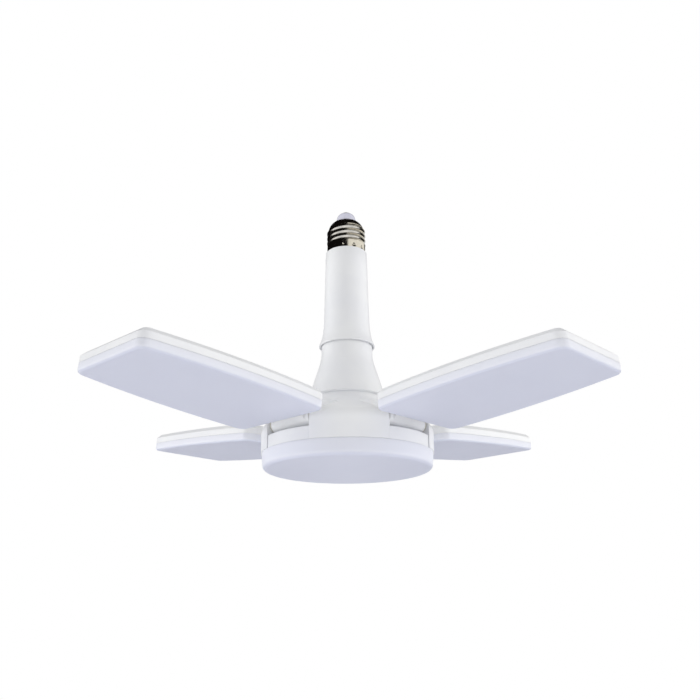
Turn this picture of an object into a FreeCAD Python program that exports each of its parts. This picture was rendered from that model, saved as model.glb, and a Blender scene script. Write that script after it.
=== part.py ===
"""Deformable garage light: a screw-in lamp with a round centre lamp and four folding panels.

All sizes are millimetres.  The origin is the tip of the cap's centre contact and +Z points up
into the lampholder, so the whole lamp hangs below the origin.  The panels lie along +X, +Y, -X
and -Y.  They are drawn as they are shown: each turned up a little from level.
"""
import FreeCAD, Part
import math
import os

import Sketcher
from FreeCAD import Placement, Rotation, Vector

PANELS = 4
CRIMPS = 12
LED_RINGS = (6, 12, 20)
LED_RING_SHARES = (0.22, 0.48, 0.92)     # of the round board's radius
LED_ROWS, LED_COLUMNS = 4, 9
SCREW_COLUMNS = (0.5, 4.5, 7.5)          # panel screws, counted in columns of lamps
CONE_TURN = 1.12                         # neck's curve turns this share of its mean slope
GROOVE_END = 0.6                         # radius of a groove's ends, of its width
SIZES = dict(
    # screw cap
    cap_height=30.7,             # contact tip down to the sleeve's top edge
    contact_rise=0.5,            # contact above the insulator's face
    contact_radius=3.6,
    contact_head=1.1,            # thickness of the contact's head
    shank_radius=1.0,
    nose_radius=4.9,             # white tip of the insulator
    nose_height=2.8,
    flange_radius=8.6,           # insulator's flange, under the shell's shoulder
    flange_height=2.2,
    shoulder_height=3.9,         # sloping shoulder of the shell
    thread_radius=13.15,         # crest of the E26 / E27 thread
    thread_depth=0.95,
    thread_pitch=3.629,
    thread_crest=2.9,            # width of one rolled ridge at its foot
    collar_radius=13.3,          # plain collar below the thread
    collar_height=8.4,
    shell_wall=0.6,
    crimp_radius=1.5,            # round dents that grip the plastic core
    crimp_depth=0.4,
    crimp_drop=3.4,              # collar's upper edge down to the dents
    # sleeve round the driver
    sleeve_length=68.0,
    sleeve_top_radius=14.1,
    sleeve_waist_radius=15.15,
    sleeve_wall=1.7,
    flare_length=21.0,
    lip_gap=0.8,                 # shadow gap between the neck and the lip
    lip_wall=1.4,
    lip_depth=1.2,
    core_height=14.0,            # plastic core that the shell is pressed on
    core_bore=4.0,
    # trumpet neck
    trumpet_length=35.9,
    neck_radius=16.7,
    neck_straight=4.0,           # straight stretch below the lip
    neck_curve=29.0,             # radius of the curve into the cone
    skirt_overhang=1.7,          # skirt outside the hub's waist
    skirt_seat=1.8,              # width of the waist's top that the skirt sits on
    skirt_bevel=0.8,
    skirt_socket=6.0,            # depth of the straight bore above the skirt's foot
    neck_wall=2.0,
    spigot_step=2.1,             # neck's surface in to its spigot inside the sleeve
    spigot_height=7.0,
    # hub
    waist_radius=23.3,
    waist_height=3.9,            # straight waist between the skirt and the slope
    rim_radius=54.7,
    slope_angle=26.13,           # degrees that the lobes fall outward
    waist_curve=6.0,
    shoulder_curve=7.0,
    shoulder_ease=1.05,          # hollow's slope starts lower, under the rounded shoulder
    hub_wall=2.6,
    pocket_width=36.6,
    pocket_setback=2.7,          # waist out to the inner wall of a pocket
    hub_spigot=4.0,
    boss_radius=4.2,
    boss_setback=16.7,           # rim in to a screw boss
    # tray, centre lamp
    band_setback=0.7,            # rim in to the tray's band
    tray_height=8.0,
    tray_plate=1.6,
    tray_wall=2.0,
    lens_setback=0.5,            # rim in to the round cover
    lens_draft=0.7,              # how far the cover's side leans in
    lens_crown=0.4,
    lens_depth=9.9,
    lens_round=3.0,
    lens_wall=1.8,
    lens_tongue=3.0,
    board_gap=1.5,               # cover's tongue in to the round board
    board_thickness=1.5,
    # hinges
    hinge_setback=9.7,           # rim in to a hinge axis
    hinge_room=1.0,              # tray up to a hinge barrel
    hinge_cover=2.1,             # hinge axis up to the edge of the slope
    rest_tilt=5.3,               # degrees that a panel stands above level
    pin_radius=1.6,
    barrel_radius=5.5,
    washer_thickness=1.8,
    washer_radius=4.6,
    arm_width=26.0,
    # panels
    rim_room=1.0,                # rim out to a panel's inner end
    panel_length=118.1,
    panel_root_width=72.6,
    panel_tip_width=62.4,
    side_bow=3.7,
    panel_drop=2.74,             # hinge axis down to the cover's face
    cover_height=5.2,
    housing_height=6.4,
    back_chamfer=2.6,
    back_plate=2.4,
    housing_wall=1.6,
    corner_round=6.0,
    cover_round=1.8,
    cover_face=1.5,
    tongue_wall=1.0,
    tongue_height=1.4,
    groove_width=2.4,
    groove_depth=0.8,
    groove_spacing=9.0,
    groove_margin=9.0,           # bevel to the end of a groove
    panel_board=1.2,
    board_room=0.8,              # panel wall to the edge of its board
    led_margin=6.0,              # edge of a board to its first row of lamps
    # lamps and fasteners
    led_length=3.5,
    led_width=2.8,
    led_height=0.75,
    screw_radius=1.25,
    screw_head_radius=2.5,
    screw_head_height=1.5,
    screw_length=14.0,
    panel_screw_length=1.4,      # how far a panel screw bites into the back plate
    pilot_extra=0.3,             # a blind hole is this much deeper than its screw
    # driver
    driver_length=62.0,
    driver_thickness=1.6,
    rail_depth=1.2,              # how far the sleeve's guide rails stand in
    rail_width=1.2,
    wall_room=0.3,               # parts on the driver to the sleeve's wall
    driver_margin=4.0,           # board's mains end to the fuse
    inlet_room=9.0,              # board's mains end to the choke, left for the leads
    driver_gap=3.0,              # between parts that follow each other down the board
    transformer_length=16.0,
    transformer_width=14.0,
    capacitor_radius=3.8,
    capacitor_length=13.0,
    small_capacitor_radius=2.6,
    small_capacitor_length=8.0,
    rectifier_length=7.0,
    rectifier_width=5.5,
    rectifier_height=2.4,
    choke_radius=4.0,
    choke_length=6.5,
    fuse_radius=1.3,
    fuse_length=7.0,
    # clearances
    fit_gap=0.15,                # between pieces that are pushed together
    running_gap=0.08,            # between a pin and its bore
    press_gap=0.02,              # between a pin and the wall that holds it
    edge_break=0.4,              # small bevels on turned and moulded edges
    overlap=0.5,                 # how deep joined blocks of one piece reach into each other
)

doc = FreeCAD.newDocument("garage_light")
sheet = doc.addObject("Spreadsheet::Sheet", "Dims")
for row, (alias, value) in enumerate(SIZES.items(), start=1):
    sheet.set(f"A{row}", alias)
    sheet.set(f"B{row}", str(value))
    sheet.setAlias(f"B{row}", alias)
doc.recompute()

# Heights inside the hub, each measured up from its foot.
HINGE_LEVEL = "(Dims.tray_height + Dims.barrel_radius + Dims.hinge_room)"
SLOPE_FOOT = f"({HINGE_LEVEL} + Dims.hinge_cover)"
SLOPE_TOP = f"({SLOPE_FOOT} + (Dims.rim_radius - Dims.waist_radius) * tan(Dims.slope_angle))"
HUB_TOP = f"({SLOPE_TOP} + Dims.waist_height)"

# Heights of the main joints, each measured down from the contact's tip.
SLEEVE_TOP = "-Dims.cap_height"
LIP = "-(Dims.cap_height + Dims.sleeve_length)"
BASE = f"-(Dims.cap_height + Dims.sleeve_length + Dims.trumpet_length + {HUB_TOP})"

# Radii that follow from their neighbours.
THREAD_ROOT = "(Dims.thread_radius - Dims.thread_depth)"
SHELL_BORE = f"({THREAD_ROOT} - Dims.shell_wall)"
SHELL_MOUTH = "(Dims.nose_radius + Dims.fit_gap)"
SLEEVE_BORE = "(Dims.sleeve_top_radius - Dims.sleeve_wall)"
LIP_BORE = "(Dims.neck_radius + Dims.lip_gap)"
LIP_RADIUS = f"({LIP_BORE} + Dims.lip_wall)"
SPIGOT = "(Dims.neck_radius - Dims.spigot_step)"
SKIRT_BORE = "(Dims.waist_radius - Dims.skirt_seat)"
HINGE_REACH = "(Dims.rim_radius - Dims.hinge_setback)"
BOSS_REACH = "(Dims.rim_radius - Dims.boss_setback)"
HUB_BORE = "(Dims.rim_radius - Dims.hub_wall)"
TRAY_EDGE = f"({HUB_BORE} - Dims.fit_gap)"
TONGUE = f"({TRAY_EDGE} - Dims.tray_wall - Dims.fit_gap)"
BOARD_RADIUS = f"({TONGUE} - Dims.lens_wall - Dims.board_gap)"
BOARD_LEVEL = f"({BASE} + Dims.tray_height - Dims.tray_plate)"

parts = []


def number(expression):
    """Works out an expression of sheet values."""
    result = sheet.evalExpression(expression)
    return float(getattr(result, "Value", result))


def part(thing, name, height=None):
    """Names a finished sub-part and sets it at its height."""
    thing.Label = name
    if height is not None:
        thing.setExpression("Placement.Base.z", height)
    parts.append(thing)
    return thing


def new_body(name):
    return doc.addObject("PartDesign::Body", name + "_body")


def origin_plane(body, role):
    return next(item for item in body.Origin.OriginFeatures if item.Role == role)


def new_sketch(body, name, role, height=None):
    sketch = body.newObject("Sketcher::SketchObject", name)
    sketch.AttachmentSupport = (origin_plane(body, role), [""])
    sketch.MapMode = "FlatFace"
    if height is not None:
        sketch.setExpression("AttachmentOffset.Base.z", height)
    return sketch


def pin_point(sketch, geometry, end, corner):
    """Ties one end of a line or arc to a pair of sheet expressions."""
    axes = (("DistanceX", -2), ("DistanceY", -1))
    for (kind, axis), expression in zip(axes, corner):
        value = number(expression)
        if abs(value) < 1e-9:
            sketch.addConstraint(Sketcher.Constraint("PointOnObject", geometry, end, axis))
        else:
            index = sketch.addConstraint(Sketcher.Constraint(kind, -1, 1, geometry, end, value))
            sketch.setExpression(f"Constraints[{index}]", expression)


def arc_between(start, end, radius):
    """An arc from start to end: a positive radius turns left, a negative one turns right."""
    chord = end - start
    middle = (start + end) * 0.5
    rise = math.sqrt(radius * radius - (chord.Length / 2) ** 2)
    side = Vector(-chord.y, chord.x, 0).normalize()
    centre = middle + side * math.copysign(rise, radius)
    first, last = (start, end) if radius > 0 else (end, start)
    angles = [math.atan2(point.y - centre.y, point.x - centre.x) for point in (first, last)]
    return Part.ArcOfCircle(Part.Circle(centre, Vector(0, 0, 1), abs(radius)), *angles)


def draw(sketch, path):
    """Draws a closed outline through corners (x, y); a third entry rounds the side after it."""
    corners = [Vector(number(step[0]), number(step[1]), 0) for step in path]
    ends = []
    for place, step in enumerate(path):
        start, end = corners[place], corners[(place + 1) % len(path)]
        if len(step) == 2:
            index = sketch.addGeometry(Part.LineSegment(start, end))
            ends.append((index, 1, 2))
        else:
            radius = number(step[2])
            index = sketch.addGeometry(arc_between(start, end, radius))
            ends.append((index, 1, 2) if radius > 0 else (index, 2, 1))
            bound = sketch.addConstraint(Sketcher.Constraint("Radius", index, abs(radius)))
            sketch.setExpression(f"Constraints[{bound}]", f"abs({step[2]})")
    for place, (index, first, _) in enumerate(ends):
        before, _, last = ends[place - 1]
        sketch.addConstraint(Sketcher.Constraint("Coincident", before, last, index, first))
        pin_point(sketch, index, first, path[place][:2])
    return sketch


def round_corner(sketch, corner, name):
    """Rounds the corner where line number corner starts, with a radius from the sheet."""
    arc = sketch.GeometryCount
    sketch.fillet(corner, 1, number(name), True, True)
    bound = sketch.addConstraint(Sketcher.Constraint("Radius", arc, number(name)))
    sketch.setExpression(f"Constraints[{bound}]", name)


def draw_circle(sketch, x, y, radius):
    circle = Part.Circle(Vector(number(x), number(y), 0), Vector(0, 0, 1), number(radius))
    index = sketch.addGeometry(circle)
    bound = sketch.addConstraint(Sketcher.Constraint("Radius", index, number(radius)))
    sketch.setExpression(f"Constraints[{bound}]", radius)
    pin_point(sketch, index, 3, (x, y))
    return sketch


def turn(body, name, path, rounded=()):
    """Adds a turned solid: the path gives radius and height, rounded the corners to round."""
    sketch = draw(new_sketch(body, name + "_profile", "XZ_Plane"), path)
    for corner, radius in rounded:
        round_corner(sketch, corner, radius)
    feature = body.newObject("PartDesign::Revolution", name)
    feature.Profile = sketch
    feature.ReferenceAxis = (sketch, ["V_Axis"])
    feature.Angle = 360
    doc.recompute()
    return feature


def turned_part(name, path, height, rounded=()):
    body = new_body(name)
    turn(body, name + "_turned", path, rounded)
    return part(body, name, height)


def pad(body, sketch, name, length, down=False, both_ways=False):
    feature = body.newObject("PartDesign::Pad", name)
    feature.Profile = sketch
    feature.setExpression("Length", length)
    feature.Reversed = down
    if both_ways:
        feature.SideType = "Symmetric"
    doc.recompute()
    return feature


def cut(body, sketch, name, length, up=False, through=False):
    """Cuts a sketch into the body and makes sure that something was cut away."""
    before = body.Shape.Volume
    feature = body.newObject("PartDesign::Pocket", name)
    feature.Profile = sketch
    if through:
        feature.SideType = "Symmetric"
    feature.setExpression("Length", length)
    feature.Reversed = up
    doc.recompute()
    if body.Shape.Volume > before - 1e-6:
        raise RuntimeError(f"{name} cuts nothing")
    return feature


def edges_where(shape, test):
    return [f"Edge{number_}" for number_, edge in enumerate(shape.Edges, start=1) if test(edge)]


def soften(body, kind, name, size, test):
    """Rounds or bevels the edges of the body that pass a test."""
    feature = body.newObject("PartDesign::" + kind, name)
    base = body.Tip if body.Tip != feature else body.Group[-2]
    names = edges_where(base.Shape, test)
    if not names:
        raise RuntimeError(f"{name} finds no edge")
    feature.Base = (base, names)
    feature.setExpression("Radius" if kind == "Fillet" else "Size", size)
    doc.recompute()
    return feature


def solid_box(name, length, width, height, x, y, z):
    box = doc.addObject("Part::Box", name)
    for prop, expression in (("Length", length), ("Width", width), ("Height", height)):
        box.setExpression(prop, expression)
    for axis, expression in (("x", x), ("y", y), ("z", z)):
        box.setExpression("Placement.Base." + axis, expression)
    return box


def solid_rod(name, radius, height, x, y, z, direction=Vector(0, 0, 1)):
    rod = doc.addObject("Part::Cylinder", name)
    rod.setExpression("Radius", radius)
    rod.setExpression("Height", height)
    rod.Placement = Placement(Vector(), Rotation(Vector(0, 0, 1), direction))
    for axis, expression in (("x", x), ("y", y), ("z", z)):
        rod.setExpression("Placement.Base." + axis, expression)
    return rod


def fuse(name, pieces):
    union = doc.addObject("Part::MultiFuse", name)
    union.Shapes = pieces
    return union


def common(name, first, second):
    both = doc.addObject("Part::MultiCommon", name)
    both.Shapes = [first, second]
    return both


def subtract(name, base, tool):
    rest = doc.addObject("Part::Cut", name)
    rest.Base = base
    rest.Tool = tool
    return rest


def group_of(name, solids):
    """One node for several equal pieces that stay separate solids."""
    feature = doc.addObject("Part::Feature", name + "_group")
    feature.Shape = Part.makeCompound(solids)
    return feature


# ---------------------------------------------------------------- screw cap

def make_contact():
    """A nail: its head is the lamp's centre contact and its shank runs down to the driver."""
    head = "Dims.contact_radius"
    shank = "Dims.shank_radius"
    under = "-Dims.contact_head"
    foot = "-(Dims.cap_height + Dims.sleeve_wall)"
    path = [("0", "0"), (head + " - Dims.edge_break", "0"), (head, "-Dims.edge_break"),
            (head, under), (shank, under), (shank, foot), ("0", foot)]
    turned_part("centre_contact", path, "0")


NOSE_FOOT = "-(Dims.contact_rise + Dims.nose_height)"
SHOULDER = f"({NOSE_FOOT} - Dims.shoulder_height)"


def under_shoulder(radius):
    """Height of the shell's inner face at a radius: its sloping shoulder seen from below."""
    fall = f"Dims.shoulder_height / ({THREAD_ROOT} - {SHELL_MOUTH})"
    return f"({NOSE_FOOT} - Dims.shell_wall - {fall} * ({radius} - {SHELL_MOUTH}))"


def make_insulator():
    """The white nose round the contact, with a flange that the shell's shoulder holds down."""
    top = "-Dims.contact_rise"
    seat = "-Dims.contact_head"
    nose = "Dims.nose_radius"
    flange = "Dims.flange_radius"
    foot = f"({under_shoulder(flange)} - Dims.flange_height)"
    turned_part("cap_insulator", [
        ("Dims.contact_radius + Dims.fit_gap", top), (nose, top), (nose, under_shoulder(nose)),
        (flange, under_shoulder(flange)), (flange, foot),
        ("Dims.shank_radius + Dims.fit_gap", foot), ("Dims.shank_radius + Dims.fit_gap", seat),
        ("Dims.contact_radius + Dims.fit_gap", seat)], "0", [(1, "Dims.edge_break")])


def make_screw_shell():
    """A rolled metal shell: shoulder, right-hand thread and plain collar, open at both ends."""
    collar = "(Dims.collar_height - Dims.cap_height)"
    wall = new_body("shell_wall")
    turn(wall, "shell_wall_turned", [
        (SHELL_MOUTH, NOSE_FOOT), (THREAD_ROOT, SHOULDER),
        (THREAD_ROOT, f"{collar} + Dims.thread_depth"), ("Dims.collar_radius", collar),
        ("Dims.collar_radius", "-Dims.cap_height"), (SHELL_BORE, "-Dims.cap_height"),
        (SHELL_BORE, under_shoulder(SHELL_BORE)), (SHELL_MOUTH, under_shoulder(SHELL_MOUTH))],
        [(1, "Dims.edge_break")])

    # One ridge winds up from inside the collar, and a cone trims its upper end.
    ridge = new_body("shell_ridge")
    half = "Dims.thread_crest / 2"
    low = f"({collar} - Dims.thread_pitch / 2)"
    foot = f"{THREAD_ROOT} - Dims.shell_wall / 2"
    profile = draw(new_sketch(ridge, "ridge_profile", "XZ_Plane"), [
        (foot, f"{low} - {half}"), (THREAD_ROOT, f"{low} - {half}"),
        ("Dims.thread_radius", f"{low} - {half} / 3"), ("Dims.thread_radius", f"{low} + {half} / 3"),
        (THREAD_ROOT, f"{low} + {half}"), (foot, f"{low} + {half}")])
    thread = ridge.newObject("PartDesign::AdditiveHelix", "thread_ridge")
    thread.Profile = profile
    thread.ReferenceAxis = (profile, ["V_Axis"])
    thread.Mode = "pitch-height-angle"
    thread.setExpression("Pitch", "Dims.thread_pitch")
    thread.setExpression("Height", f"{SHOULDER} - {low}")
    trim = new_body("ridge_trim")
    wide = "(Dims.thread_radius + Dims.thread_pitch)"
    tip = f"({SHOULDER} - Dims.edge_break)"
    turn(trim, "ridge_trim_turned", [
        ("0", "-Dims.cap_height"), (wide, "-Dims.cap_height"),
        (wide, f"{tip} - ({wide} - {THREAD_ROOT})"), (THREAD_ROOT, tip), ("0", tip)])
    threaded = fuse("shell_threaded", [wall, common("ridge_trimmed", ridge, trim)])
    part(subtract("shell_crimped", threaded, crimps(f"{collar} - Dims.crimp_drop")), "screw_shell")


def crimps(level):
    """Shallow round dents in the collar, where a punch locks it to the plastic core."""
    dents = []
    reach = "(Dims.collar_radius + Dims.crimp_radius - Dims.crimp_depth)"
    for place in range(CRIMPS):
        ball = doc.addObject("Part::Sphere", f"crimp_{place + 1}")
        ball.setExpression("Radius", "Dims.crimp_radius")
        angle = math.radians(360 * place / CRIMPS)
        for axis, expression in (("x", f"{math.cos(angle)} * {reach}"),
                                 ("y", f"{math.sin(angle)} * {reach}"), ("z", level)):
            ball.setExpression("Placement.Base." + axis, expression)
        dents.append(ball)
    return fuse("crimp_dents", dents)


# ---------------------------------------------------------------- neck

def make_sleeve():
    """The slim sleeve: a tapered tube with a flared lip below and the shell's core on top."""
    core = f"({SHELL_BORE} - Dims.fit_gap)"
    socket = f"({SPIGOT} + Dims.fit_gap / 2)"
    foot = "-Dims.sleeve_length"
    step = f"({foot} + Dims.lip_depth)"
    ledge = f"({step} + Dims.spigot_height)"
    flare = f"({foot} + Dims.flare_length)"
    spread = f"({LIP_RADIUS} - Dims.sleeve_waist_radius)"
    flare_radius = f"(pow(Dims.flare_length; 2) + pow({spread}; 2)) / (2 * {spread})"
    body = new_body("driver_sleeve")
    turn(body, "sleeve_turned", [
        (core, "Dims.core_height"), ("Dims.core_bore", "Dims.core_height"),
        ("Dims.core_bore", "-Dims.sleeve_wall"), (SLEEVE_BORE, "-Dims.sleeve_wall"),
        (SLEEVE_BORE, ledge), (socket, ledge), (socket, step), (LIP_BORE, step), (LIP_BORE, foot),
        (f"{LIP_RADIUS} - Dims.edge_break", foot),
        (LIP_RADIUS, f"{foot} + Dims.edge_break", flare_radius),
        ("Dims.sleeve_waist_radius", flare), ("Dims.sleeve_top_radius", "0"), (core, "0")],
        [(12, "Dims.edge_break")])
    rails = new_sketch(body, "rail_profile", "XY_Plane")
    for side in (1, -1):
        for way in (1, -1):
            rail_box(rails, side, way)
    pad(body, rails, "guide_rails", "Dims.sleeve_wall + Dims.driver_length", down=True)
    part(body, "driver_sleeve", SLEEVE_TOP)


def rail_box(sketch, side, way):
    """One guide rail: a small rectangle beside an edge of the driver board."""
    inner = f"{side} * ({SLEEVE_BORE} - Dims.rail_depth)"
    outer = f"{side} * ({SLEEVE_BORE} + Dims.overlap)"
    near = f"{way} * (Dims.driver_thickness / 2 + Dims.fit_gap)"
    far = f"{way} * (Dims.driver_thickness / 2 + Dims.fit_gap + Dims.rail_width)"
    draw(sketch, [(inner, near), (outer, near), (outer, far), (inner, far)])


def make_neck():
    """The trumpet: straight under the lip, a curve, then a cone down to the bevelled skirt."""
    bend = "-Dims.neck_straight"
    skirt = "(Dims.waist_radius + Dims.skirt_overhang)"
    slope = f"({skirt} - Dims.neck_radius) / (Dims.trumpet_length - Dims.neck_straight)"
    # The curve leaves the straight stretch upright and ends on the cone, one slope further out.
    turn_angle = f"({CONE_TURN} * atan({slope}))"
    curve_end = f"({bend} - Dims.neck_curve * sin({turn_angle}))"
    curve_radius = f"(Dims.neck_radius + Dims.neck_curve * (1 - cos({turn_angle})))"
    spigot_top = "(Dims.lip_depth + Dims.spigot_height)"
    foot = "-Dims.trumpet_length"
    spigot_bore = f"({SPIGOT} - Dims.neck_wall)"
    turned_part("neck_housing", [
        (SPIGOT, spigot_top), (spigot_bore, spigot_top), (spigot_bore, bend),
        (f"{curve_radius} - Dims.neck_wall", curve_end),
        (SKIRT_BORE, f"{foot} + Dims.skirt_socket"), (SKIRT_BORE, foot),
        (f"{skirt} - Dims.skirt_bevel", foot), (skirt, f"{foot} + Dims.skirt_bevel"),
        (curve_radius, curve_end, "-Dims.neck_curve"), ("Dims.neck_radius", bend),
        ("Dims.neck_radius", "Dims.lip_depth"), (SPIGOT, "Dims.lip_depth")], LIP)


# ---------------------------------------------------------------- hub

def pocket_boxes(name, wall):
    """Four upright boxes, one round each hinge pocket, grown by a wall."""
    inner = f"(Dims.waist_radius + Dims.pocket_setback - {wall})"
    half = f"(Dims.pocket_width / 2 + {wall})"
    boxes = []
    for quarter in range(PANELS):
        box = doc.addObject("Part::Box", f"{name}_{quarter + 1}")
        box.setExpression("Length", "Dims.rim_radius")
        box.setExpression("Width", f"2 * {half}")
        box.setExpression("Height", f"{HUB_TOP} + 2 * Dims.overlap")
        turned = Rotation(Vector(0, 0, 1), 90 * quarter)
        box.Placement = Placement(Vector(), turned)
        out = turned.multVec(Vector(1, 0, 0))
        side = turned.multVec(Vector(0, 1, 0))
        box.setExpression("Placement.Base.x", f"{out.x} * {inner} - {side.x} * {half}")
        box.setExpression("Placement.Base.y", f"{out.y} * {inner} - {side.y} * {half}")
        box.setExpression("Placement.Base.z", "-Dims.overlap")
        boxes.append(box)
    return fuse(name, boxes)


def diagonal(radius, quarter):
    angle = math.radians(45 + 90 * quarter)
    return radius * math.cos(angle), radius * math.sin(angle)


def on_bosses(name, radius, height, level):
    """Four upright rods, one on each screw's axis."""
    rods = []
    for quarter in range(PANELS):
        x, y = diagonal(1.0, quarter)
        rods.append(solid_rod(f"{name}_{quarter + 1}", radius, height, f"{x} * {BOSS_REACH}",
                              f"{y} * {BOSS_REACH}", level))
    return rods


def make_hub():
    """The moulded hub: a waist that flows out into four lobes, with a hinge pocket between each
    two, hollow lobes, screw bosses inside them and cross-bores for the hinge pins."""
    spigot = f"({SKIRT_BORE} - Dims.fit_gap / 2)"
    spigot_top = f"({HUB_TOP} + Dims.hub_spigot)"
    outer = new_body("hub_outer")
    turn(outer, "hub_outer_turned", [
        ("0", "0"), ("Dims.rim_radius", "0"), ("Dims.rim_radius", SLOPE_FOOT),
        ("Dims.waist_radius", SLOPE_TOP), ("Dims.waist_radius", HUB_TOP), (spigot, HUB_TOP),
        (spigot, spigot_top), ("0", spigot_top)],
        [(2, "Dims.shoulder_curve"), (3, "Dims.waist_curve")])
    blank = subtract("hub_blank", outer, pocket_boxes("pockets", "0"))

    wall = "Dims.hub_wall"
    waist_bore = f"Dims.waist_radius - {wall}"
    above = f"({spigot_top} + Dims.overlap)"
    inner = new_body("hub_inner")
    turn(inner, "hub_inner_turned", [
        ("0", "-Dims.overlap"), (HUB_BORE, "-Dims.overlap"),
        (HUB_BORE, f"{SLOPE_FOOT} - {wall} - Dims.shoulder_ease"),
        (waist_bore, f"{SLOPE_TOP} - {wall}"), (waist_bore, above), ("0", above)])
    kept = fuse("hub_ribs", [pocket_boxes("pocket_walls", wall)]
                + on_bosses("boss", "Dims.boss_radius", HUB_TOP, "Dims.tray_height"))
    floor = solid_rod("tray_room", HUB_BORE, "Dims.tray_height", "0", "0", "0")
    hollow = subtract("hub_hollow", inner, kept)
    shell = subtract("hub_shell_open", subtract("hub_hollowed", blank, hollow), floor)

    drills = on_bosses("pilot", "Dims.screw_radius + Dims.press_gap",
                       "Dims.screw_length - Dims.tray_plate - Dims.board_thickness + Dims.pilot_extra",
                       "Dims.tray_height")
    for quarter in range(2):
        drills += hinge_bores(quarter)
    part(subtract("hub_drilled", shell, fuse("hub_drills", drills)), "hub_shell", BASE)


def hinge_bores(quarter):
    """Cross-bores for the pins of two opposite hinges, right through the pocket walls."""
    rods = []
    half = "(Dims.pocket_width / 2 + Dims.hub_wall)"
    radius = "Dims.pin_radius + Dims.press_gap"
    for side in (1, -1):
        name = f"pin_bore_{quarter}_{side + 1}"
        reach = f"{side} * {HINGE_REACH}"
        if quarter == 0:
            rods.append(solid_rod(name, radius, f"2 * {half}", reach, f"-{half}",
                                  HINGE_LEVEL, Vector(0, 1, 0)))
        else:
            rods.append(solid_rod(name, radius, f"2 * {half}", f"-{half}", reach,
                                  HINGE_LEVEL, Vector(1, 0, 0)))
    return rods


def make_tray():
    """The tray under the hub: a flat pan whose rim shows as a band below each pocket."""
    under = "(Dims.tray_height - Dims.tray_plate)"
    pan = new_body("tray_pan")
    turn(pan, "tray_pan_turned", [
        ("0", under), (f"{TRAY_EDGE} - Dims.tray_wall", under),
        (f"{TRAY_EDGE} - Dims.tray_wall", "0"), (TRAY_EDGE, "0"), (TRAY_EDGE, "Dims.tray_height"),
        ("0", "Dims.tray_height")])
    band = new_body("tray_band")
    inside = f"{TRAY_EDGE} - Dims.overlap"
    outside = "(Dims.rim_radius - Dims.band_setback)"
    turn(band, "tray_band_turned", [
        (inside, "0"), (outside, "0"), (outside, "Dims.tray_height - Dims.edge_break"),
        (f"{outside} - Dims.edge_break", "Dims.tray_height"), (inside, "Dims.tray_height")])
    width = "(Dims.pocket_width - 2 * Dims.fit_gap)"
    span = "(2 * Dims.rim_radius)"
    cross = fuse("tray_cross", [
        solid_box("tray_bar_x", span, width, "Dims.tray_height", f"-{span} / 2", f"-{width} / 2", "0"),
        solid_box("tray_bar_y", width, span, "Dims.tray_height", f"-{width} / 2", f"-{span} / 2", "0")])
    whole = fuse("tray_whole", [pan, common("tray_band_parts", band, cross)])
    holes = on_bosses("tray_hole", "Dims.screw_radius + Dims.fit_gap", "Dims.tray_height", "0")
    part(subtract("tray_drilled", whole, fuse("tray_holes", holes)), "base_tray", BASE)


def make_centre_lens():
    """The milky cover of the centre lamp: a shallow cup with a rounded edge and a tongue."""
    radius = "(Dims.rim_radius - Dims.lens_setback)"
    crown = "(-Dims.lens_depth - Dims.lens_crown)"
    turned_part("centre_lens", [
        (TONGUE, "0"), (radius, "0"), (f"{radius} - Dims.lens_draft", "-Dims.lens_depth"),
        ("0", crown), ("0", f"{crown} + Dims.lens_wall"),
        (f"{TONGUE} - Dims.lens_wall", "Dims.lens_wall - Dims.lens_depth"),
        (f"{TONGUE} - Dims.lens_wall", "Dims.lens_tongue"), (TONGUE, "Dims.lens_tongue")],
        BASE, [(2, "Dims.lens_round")])


def make_centre_board():
    """The round aluminium board, clamped under the tray's plate."""
    body = new_body("centre_led_board")
    sketch = new_sketch(body, "centre_board_outline", "XY_Plane")
    draw_circle(sketch, "0", "0", BOARD_RADIUS)
    for quarter in range(PANELS):
        x, y = diagonal(1.0, quarter)
        draw_circle(sketch, f"{x} * {BOSS_REACH}", f"{y} * {BOSS_REACH}",
                    "Dims.screw_radius + Dims.fit_gap")
    pad(body, sketch, "centre_board_plate", "Dims.board_thickness", down=True)
    part(body, "centre_led_board", BOARD_LEVEL)


def led(centre, turned):
    """One surface-mounted lamp, hanging from the face above it."""
    length, width, height = (number("Dims.led_" + key) for key in ("length", "width", "height"))
    block = Part.makeBox(length, width, height, Vector(-length / 2, -width / 2, -height))
    block.Placement = Placement(centre, Rotation(Vector(0, 0, 1), turned))
    return block


def make_centre_leds():
    """Three rings of lamps under the round board."""
    level = number(f"{BOARD_LEVEL} - Dims.board_thickness")
    lamps = []
    for count, share in zip(LED_RINGS, LED_RING_SHARES):
        reach = Vector(share * number(BOARD_RADIUS), 0, level)
        for place in range(count):
            angle = 360 * place / count
            lamps.append(led(Rotation(Vector(0, 0, 1), angle).multVec(reach), angle))
    part(group_of("centre_leds", lamps), "centre_leds")


def screw(length):
    """A pan-head screw that points up from the underside of its head."""
    radius, head, height = (number("Dims." + key) for key in
                            ("screw_radius", "screw_head_radius", "screw_head_height"))
    shank = Part.makeCylinder(radius, length)
    cap = Part.makeCylinder(head, height, Vector(0, 0, -height))
    return shank.fuse(cap).removeSplitter()


def make_tray_screws():
    """Four screws that clamp the board and the tray to the hub's bosses."""
    level = number(f"{BOARD_LEVEL} - Dims.board_thickness")
    length = number("Dims.screw_length")
    screws = []
    for quarter in range(PANELS):
        x, y = diagonal(number(BOSS_REACH), quarter)
        one = screw(length)
        one.Placement = Placement(Vector(x, y, level), Rotation())
        screws.append(one)
    part(group_of("tray_screws", screws), "tray_screws")


# ---------------------------------------------------------------- hinges

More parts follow.
